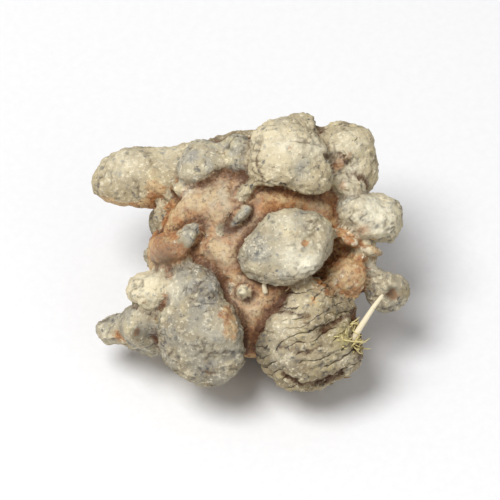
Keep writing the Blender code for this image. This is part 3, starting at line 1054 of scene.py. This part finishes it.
def wart_tree():
    sizes = {
        "Spacing": 1.5 * MM,
        "Density": 4.0e5,
        "Width": 0.5 * MM,
        "Flatness": 0.5,
        "Seed": WART_SEED,
    }
    tree, given = skin_tree("scatter_warts", sizes)
    dome = {"Segments": 7, "Rings": 5, "Radius": given["Width"] * 0.5}
    dome = flow(tree, "GeometryNodeMeshUVSphere", dome, "Mesh")
    flat = flow(tree, "ShaderNodeCombineXYZ", {"X": 1.0, "Y": 1.0, "Z": given["Flatness"]})
    dome = flow(tree, "GeometryNodeTransform", {"Geometry": dome, "Scale": flat})
    size = {2: WART_SIZES[0], 3: WART_SIZES[1], "Seed": given["Seed"]}
    size = flow(tree, "FunctionNodeRandomValue", size, 1, data_type="FLOAT")
    return finish_tree(tree, scattered(tree, given, bark_share(tree), Instance=dome, Scale=size), given)


wart_mesh = grown("bark_warts", bark_mesh, wart_tree(), {"Seed": WART_SEED, "Material": bark_material})
bark_warts = finished_piece(wart_mesh, WART_FLOOR)
print(len(wart_mesh.polygons), "faces of warts")

# %% [markdown]
# ## Rootlets
#
# A few wiry rootlets survive in the creases. They are the same short hair many times over, so they are
# scattered too: the crease attribute says where, and each leans its own way.

# %% Scatter the rootlets
HAIR_PATH = [(0, 0, -0.3), (0.02, 0, 0.3), (0.12, 0.05, 0.7), (0.28, 0.02, 1.0), (0.48, -0.1, 1.2)]
HAIR_WIDTHS = (0.24, 0.20, 0.16, 0.11, 0.05)
ROOTLET_SEED = 6


def hair_mesh(path, widths, sides=6):
    """A closed round hair along a path, as wide as given at each point, with pointed ends."""
    path = [Vector(point) for point in path]
    points, faces = [], []
    for index, (point, width) in enumerate(zip(path, widths)):
        ahead = path[min(index + 1, len(path) - 1)] - path[max(index - 1, 0)]
        across = ahead.to_track_quat("Z", "Y").to_matrix()
        for side in range(sides):
            turn = 2 * math.pi * side / sides
            points.append(point + across @ Vector((math.cos(turn), math.sin(turn), 0)) * width / 2)
    for ring in range(len(path) - 1):
        for side in range(sides):
            a, b = ring * sides + side, ring * sides + (side + 1) % sides
            faces.append((a, b, b + sides, a + sides))
    faces.append(tuple(reversed(range(sides))))
    faces.append(tuple(range(len(points) - sides, len(points))))
    made = bpy.data.meshes.new("hair")
    made.from_pydata(points, [], faces)
    return made


def rootlet_tree():
    sizes = {
        "Spacing": 5.0 * MM,
        "Density": 2.0e4,
        "Lean": 0.9,
        "Seed": ROOTLET_SEED,
        "Hair": "NodeSocketObject",
    }
    tree, given = skin_tree("scatter_rootlets", sizes)
    hair = flow(tree, "GeometryNodeObjectInfo", {"Object": given["Hair"]}, "Geometry")
    shape = scattered(tree, given, stored(tree, "crease"), Instance=hair)
    lean = flow(tree, "ShaderNodeCombineXYZ", {"X": given["Lean"], "Y": given["Lean"], "Z": math.pi})
    turn = {"Min": grow(lean, -1.0), "Max": lean, "Seed": given["Seed"]}
    turn = flow(tree, "FunctionNodeRandomValue", turn, "Value", data_type="FLOAT_VECTOR")
    shape = flow(tree, "GeometryNodeRotateInstances", {"Instances": shape, "Rotation": turn})
    return finish_tree(tree, shape, given)


rootlet_material = new_material("brown_rootlet")
hair_path = [Vector(point) * MM for point in HAIR_PATH]
hair = new_object("hair", hair_mesh(hair_path, [width * MM for width in HAIR_WIDTHS]))
values = {"Seed": ROOTLET_SEED, "Hair": hair, "Material": rootlet_material}
rootlet_mesh = grown("wiry_rootlets", bark_mesh, rootlet_tree(), values)
bpy.data.objects.remove(hair)
wiry_rootlets = finished_piece(rootlet_mesh)
print(len(rootlet_mesh.polygons), "faces of rootlets")

# %% [markdown]
# ## The straw
#
# One longer dry rootlet sticks out of the scab at the right, pale as straw, with a few frayed fibres at
# its foot. It is one of a kind, so its path is given in the layout and its foot is set on the skin that
# carries it.

# %% Straw and frayed fibres
STRAW_FOOT = (15.4, -12.2)
STRAW_PATH = [
    (-0.7, -1.2, -0.9),
    (0.0, 0.0, 0.3),
    (0.8, 1.3, 0.9),
    (1.9, 3.0, 1.3),
    (2.9, 4.5, 1.4),
    (3.9, 5.8, 1.3),
    (4.1, 6.1, 1.3),
]
STRAW_WIDTHS = (0.75, 0.88, 0.84, 0.76, 0.66, 0.52, 0.28)
SPUR_FOOT = (2.8, -6.6)
SPUR_PATH = [(0, 0, -0.6), (-0.1, 0.5, 0.3), (-0.3, 1.4, 0.8), (-0.2, 2.3, 1.0)]
SPUR_WIDTHS = (0.95, 0.80, 0.65, 0.25)
FRAY_SEED = 12
FRAY_REACH = 2.3
FRAY_FACING = 0.2
FRAY_HAIRS = 44
FRAY_LIFTS = (0.15, 0.7)
FRAY_WIDTHS = (0.26, 0.22, 0.17, 0.07)


def hair_from(foot, path, widths, sides):
    """A hair whose path is given from its foot, in the layout's millimetres."""
    points = [Vector((seen_axes() @ np.array(foot + point) - footing) * MM) for point in path]
    return hair_mesh(points, [width * MM for width in widths], sides)


def joined(name, meshes, material):
    """Several meshes as one piece."""
    whole = bmesh.new()
    for mesh in meshes:
        whole.from_mesh(mesh)
    bmesh.ops.recalc_face_normals(whole, faces=whole.faces[:])
    made = bpy.data.meshes.new(name)
    whole.to_mesh(made)
    whole.free()
    made.materials.append(material)
    return finished_piece(made)


foot = seen_place(layout, *STRAW_FOOT)
straw_material = new_material("dry_straw")
straw_pieces = [
    hair_from(foot, STRAW_PATH, STRAW_WIDTHS, 12),
    hair_from(seen_place(layout, *SPUR_FOOT), SPUR_PATH, SPUR_WIDTHS, 8),
]
straw = joined("straw_fibre", straw_pieces, straw_material)

fray_material = new_material("frayed_fibre")
fray_chooser = random.Random(FRAY_SEED)
in_reach = np.linalg.norm((layout - foot) / (1, 1, 2), axis=1) < FRAY_REACH
roots = np.flatnonzero(in_reach & (normals[:, 2] > FRAY_FACING))
frays = []
for _ in range(FRAY_HAIRS):
    start = layout[roots[fray_chooser.randrange(len(roots))]]
    lean = np.array([fray_chooser.gauss(0.3, 0.9), fray_chooser.gauss(0.4, 0.9), 0.0])
    lift = fray_chooser.uniform(*FRAY_LIFTS)
    path = [(0, 0, -0.2), lean * 0.35 + (0, 0, lift), lean * 0.7 + (0.1, 0, lift)]
    path.append(lean + (0.2, 0.1, lift * 0.6))
    frays.append(hair_from(start, path, FRAY_WIDTHS, 5))
fray = joined("frayed_fibres", frays, fray_material)
print(len(straw.data.polygons) + len(fray.data.polygons), "faces of straw")

# %% [markdown]
# ## Colour and finish
#
# Three things lie over each other. The living skin dries to orange-brown. A corky bark grows over it on
# the knobs, grey-beige and granular. Pale soil dust stays on whatever stands proud. Each is a small
# node group that gives a colour or a mask, and the material lays them in that order by the stored
# attributes. Object coordinates in millimetres keep every grain at its real size.

# %% Groups for the finish
FISSURE_LINE = 0.15


def blend(share, first, second):
    """One colour laid over another, by a share from 0 to 1."""
    return flow(share.tree, "ShaderNodeMix", {"Factor": share, 6: first, 7: second}, 2, data_type="RGBA")


def laid(colour, *layers):
    """A colour with others laid over it in turn, each by its own mask."""
    for mask, layer in layers:
        colour = blend(mask, colour, layer)
    return colour


def speckle_group():
    """Masks of pale flecks, dark flecks and slow clouds, and a grain height."""
    inputs = {"Place": VECTOR, "Fleck Size": 0.5, "Seed": 0.0}
    outputs = dict.fromkeys(("Pale", "Dark", "Cloud", "Height"), FLOAT)
    tree, given = new_tree("speckle", "ShaderNodeTree", inputs, outputs)
    seed, other_seed = given["Seed"], given["Seed"] + 5.3
    fine = grow(given["Place"], 1.0 / given["Fleck Size"])
    grain = noise_at(fine, 3.0, 0.65, seed)
    other = noise_at(grow(fine, 0.8), 3.0, 0.65, other_seed)
    slow = noise_at(grow(fine, 0.2), 2.0, 0.55, other_seed)
    gather = noise_at(grow(fine, 0.3), 1.0, 0.5, seed)
    made = {
        "Pale": ramp(grain, 0.52, 0.64) * ramp(gather, 0.40, 0.60, 0.15, 1.0),
        "Dark": ramp(other, 0.54, 0.66) * ramp(gather, 0.40, 0.60, 1.0, 0.25),
        "Cloud": ramp(slow, 0.36, 0.64),
        "Height": grain + other,
    }
    add(tree, "NodeGroupOutput", made)
    return tree


def bare_skin_group():
    """Orange-brown skin, tan where it lies open, streaked with dark red."""
    inputs = {
        "Place": VECTOR,
        "Open": 0.5,
        "Orange": (0.45, 0.19, 0.06, 1),
        "Tan": (0.63, 0.44, 0.22, 1),
        "Red": (0.22, 0.075, 0.028, 1),
    }
    tree, given = new_tree("bare_skin", "ShaderNodeTree", inputs, {"Colour": COLOUR, "Height": FLOAT})
    place, tan, red = given["Place"], given["Tan"], given["Red"]
    streak = noise_at(grow(place, 0.6), 4.0, 0.65, 1.7)
    patch = noise_at(grow(place, 0.9), 3.0, 0.6, 8.1)
    grain = noise_at(grow(place, 2.4), 3.0, 0.6, 4.4)
    colour = laid(
        given["Orange"],
        (ramp(streak + given["Open"] * 0.16, 0.46, 0.68), tan),
        (ramp(patch - given["Open"] * 0.06, 0.52, 0.68, 0.0, 0.8), red),
        (ramp(grain, 0.53, 0.62, 0.0, 0.60), red),
        (ramp(grain, 0.36, 0.46, 0.30, 0.0), tan),
    )
    add(tree, "NodeGroupOutput", {"Colour": colour, "Height": streak + grain})
    return tree


def fissure_group():
    """The thin dark line inside each long crack."""
    tree, given = new_tree("fissures", "ShaderNodeTree", {"Place": VECTOR, "Split": 0.5}, {"Line": FLOAT})
    add(tree, "NodeGroupOutput", {"Line": fissure_at(given["Place"], given["Split"], FISSURE_LINE)})
    return tree


def placed(place, group, **values):
    """What a finish group gives at each place, by name."""
    made = add(place.tree, "ShaderNodeGroup", node_tree=group)
    for key, value in {"Place": place, **values}.items():
        key = key.replace("_", " ")
        if isinstance(value, Flow):
            place.tree.links.new(value.socket, made.inputs[key])
        else:
            made.inputs[key].default_value = value
    return {socket.name: Flow(made, socket.name) for socket in made.outputs}


def surface(tree):
    """A point's place on its piece, in millimetres."""
    return grow(flow(tree, "ShaderNodeTexCoord", output="Object"), 1 / MM)


def finish(material, height=None, strength=1.0, depth=1.0, **values):
    """Feeds a material's shader, and bumps it by a height."""
    tree = material.node_tree
    shader = tree.nodes["Principled BSDF"]
    if height:
        bump = {"Strength": strength, "Distance": depth, "Height": height}
        values["Normal"] = flow(tree, "ShaderNodeBump", bump)
    for key, value in values.items():
        key = key.replace("_", " ")
        if isinstance(value, Flow):
            tree.links.new(value.socket, shader.inputs[key])
        else:
            shader.inputs[key].default_value = value


speckle = speckle_group()
bare_skin = bare_skin_group()
fissures = fissure_group()
print("finish groups:", speckle.name, bare_skin.name, fissures.name)

# %% The bark material
BARK_BROWN = (0.31, 0.235, 0.125, 1)
BARK_PALE = (0.70, 0.59, 0.37, 1)
BARK_GREY = (0.325, 0.33, 0.305, 1)
BARK_YELLOW = (0.66, 0.55, 0.26, 1)
BARK_SLATE = (0.26, 0.255, 0.265, 1)
CREAM = (0.87, 0.79, 0.58, 1)
CHALK = (0.92, 0.86, 0.67, 1)
DUST_PALE = (0.56, 0.49, 0.36, 1)
FLECK_DARK = (0.10, 0.10, 0.105, 1)
STRAW_DUST = (0.60, 0.52, 0.20, 1)
# Dark stains, and painted shade low on the eggs and between them
STAIN_AND_SHADE_DARK = (0.055, 0.045, 0.035, 1)
# Painted shade for the creases, also used for the dark flecks on the bare skin
FLECK_AND_CREASE_SHADE = (0.075, 0.026, 0.010, 1)
CRACK_BROWN = (0.060, 0.034, 0.018, 1)
SCAR_ORANGE = (0.46, 0.21, 0.075, 1)
FLECK_SIZE = 0.5
CRUMB_SIZE = 1.15
CLOUD_SIZE = 2.2
BARK_BUMP = 0.12 * MM


def finish_bark(material):
    """Lays skin, bark, dust, cracks, scars, stains and painted crease shade over each other."""
    tree = material.node_tree
    place = surface(tree)
    kept = {name: stored(tree, name) for name in (*marks, "scar", "crack", "pit") if name != "ring_place"}
    flecks = placed(place, speckle, Fleck_Size=FLECK_SIZE)
    crumbs = placed(place, speckle, Fleck_Size=CRUMB_SIZE, Seed=9.0)
    clouds = placed(place, speckle, Fleck_Size=CLOUD_SIZE, Seed=17.0)
    under = placed(place, bare_skin, Open=kept["open"])
    line = placed(place, fissures, Split=kept["split"])["Line"]
    grain = ramp(flecks["Height"], 0.8, 1.2)

    # Corky bark: brown to pale by the knob's tone, greyed in clouds, then flecked
    paleness = crumbs["Cloud"] * 0.45 + clouds["Height"] - 1.22
    paleness = paleness.maths("ADD", kept["pale"], paleness, use_clamp=True)
    bark = laid(
        blend(paleness, BARK_BROWN, BARK_PALE),
        (kept["cool"] * ramp(flecks["Cloud"], 0, 1, 0.45, 1), BARK_GREY),
        (clouds["Pale"] * 0.35, BARK_YELLOW),
        (clouds["Dark"] * 0.35, BARK_SLATE),
        (crumbs["Pale"] * 0.50, CREAM),
        (crumbs["Dark"] * 0.60, BARK_BROWN),
        (flecks["Pale"] * 0.75, CREAM),
        (flecks["Dark"] * 0.95, FLECK_DARK),
    )

    # Dust thins out over the bare skin
    dust = kept["dust"] * ramp(crumbs["Height"], 0.8, 1.2, 0.45, 1)
    bare_colour = laid(
        under["Colour"],
        (dust, DUST_PALE),
        (dust * (flecks["Dark"] * 0.7), FLECK_DARK),
        (flecks["Pale"] * 0.30, DUST_PALE),
        (flecks["Dark"] * 0.45, FLECK_AND_CREASE_SHADE),
    )

    # The bark covers the risen part of a knob, with a ragged edge and a pale, crumbling rim. Where it stops
    # lower away from the light, the orange skin is painted shade
    ragged = crumbs["Height"] * 0.9 - 0.9
    cover = ramp(kept["rise"] * (1.0 - kept["bare"]) + ragged, 0.28, 0.60)
    crumbling = place.maths("MAXIMUM", crumbs["Pale"], flecks["Pale"])
    rim = cover * (1.0 - cover) * 3.2 * crumbling

    # Rubbed places are bleached, with a painted highlight on the crown's upper left. Cracks, scars and stains
    # are dark, the large stains low on the eggs are painted shade, and the creases get painted shade
    # Rubbed pale bark, and a painted highlight on the crown's upper left
    bleach = kept["bleach"] * ramp(grain, 0.0, 1.0, 0.65, 1.0)
    crack = place.maths("MAXIMUM", kept["crack"] * 0.7, line * 0.85)
    torn = (crumbs["Height"] - 1.0) * 1.6 + kept["scar"]
    # How deep in a crease, for the painted crease shade
    deep = (under["Height"] - 1.0) * 0.9 + kept["crease"]
    colour = laid(
        bare_colour,
        (cover, bark),
        (rim, CREAM),
        (bleach, CHALK),
        (bleach * (flecks["Dark"] * 0.55), BARK_GREY),
        (bleach * (crumbs["Dark"] * 0.35), BARK_PALE),
        (kept["straw"] * ramp(grain, 0.0, 1.0, 0.4, 1.0), STRAW_DUST),
        (crack, CRACK_BROWN),
        (kept["pit"] * 0.65, FLECK_DARK),
        (ramp(torn, 0.30, 0.75, 0.0, 0.75), SCAR_ORANGE),
        # Dark stains, with painted shade low on the eggs and between them
        (kept["stain"], STAIN_AND_SHADE_DARK),
        # Painted shade, darkest deep in the creases
        (ramp(deep, 0.10, 0.90, 0.0, 0.9) * ramp(kept["crease"], 0.0, 0.1), FLECK_AND_CREASE_SHADE),
    )
    rough = ramp(cover, 0, 1, 0.62, 0.93)
    height = flecks["Height"] + crumbs["Height"] + under["Height"] - line * 1.5
    finish(material, height, 0.9, BARK_BUMP, Base_Color=colour, Roughness=rough, Specular_IOR_Level=0.35)


finish_bark(bark_material)
print(len(bark_material.node_tree.nodes), "nodes in the bark material")

# %% Straw and sheet
FIBRES = {
    straw_material: ((0.84, 0.74, 0.52, 1), (0.56, 0.41, 0.22, 1)),
    fray_material: ((0.68, 0.58, 0.27, 1), (0.36, 0.26, 0.10, 1)),
    rootlet_material: ((0.44, 0.29, 0.15, 1), (0.22, 0.12, 0.05, 1)),
}
FIBRE_BUMP = 0.05 * MM
SHEET_GREY = (0.80, 0.80, 0.81, 1)

for fibre, (pale_fibre, brown_fibre) in FIBRES.items():
    flecks = placed(surface(fibre.node_tree), speckle, Fleck_Size=FLECK_SIZE)
    colour = blend(flecks["Dark"] * 0.6, pale_fibre, brown_fibre)
    rough = ramp(flecks["Pale"], 0, 1, 0.75, 0.55)
    finish(fibre, flecks["Height"], 0.6, FIBRE_BUMP, Base_Color=colour, Roughness=rough)

sheet_material = new_material("pale_sheet")
tooth = noise_at(grow(surface(sheet_material.node_tree), 0.8), 3.0, 0.6, 2.0)
colour = blend(ramp(tooth, 0.3, 0.7, 0.0, 0.35), (*SHEET_COLOUR, 1), SHEET_GREY)
finish(sheet_material, Base_Color=colour, Roughness=0.85)
sheet.data.materials.append(sheet_material)
print("straw and sheet finished")

# %% Ride and replace
for piece in (bark_skin, bark_warts, wiry_rootlets, straw, fray):
    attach(piece, BODY_NAME)
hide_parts(NODE)

# %% Finish
print("the root is dressed")
